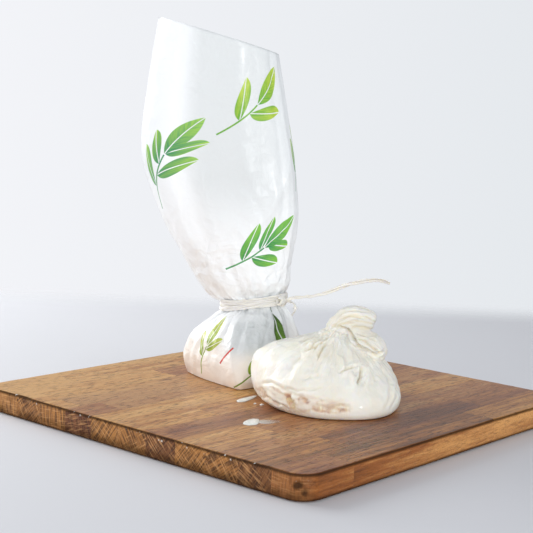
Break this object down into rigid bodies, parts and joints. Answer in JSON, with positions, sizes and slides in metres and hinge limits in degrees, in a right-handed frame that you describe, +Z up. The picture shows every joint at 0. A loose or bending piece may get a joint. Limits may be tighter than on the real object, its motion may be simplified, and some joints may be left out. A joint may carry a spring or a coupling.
{
  "type": "burrata",
  "caption": "Fresh burrata on a square wooden board: one soft cheese unwrapped, one still in its tall tied film bag.",
  "frame": {"origin": "middle of the board's underside, on the surface that the board rests on", "axes": "+X along the board's end-grain edge, +Y along its staves, +Z up; the food faces the corner between +X and -Y"},
  "size_m": [0.2846, 0.292, 0.2699],
  "materials": {
    "board_wood": "satin",
    "cheese": "satin",
    "film": "satin",
    "raffia": "matte"
  },
  "bodies": {
    "root": {"board": "board_wood", "burrata": "cheese", "wrapper": "film", "tie": "raffia", "tie_end": "raffia"}
  },
  "joints": []
}
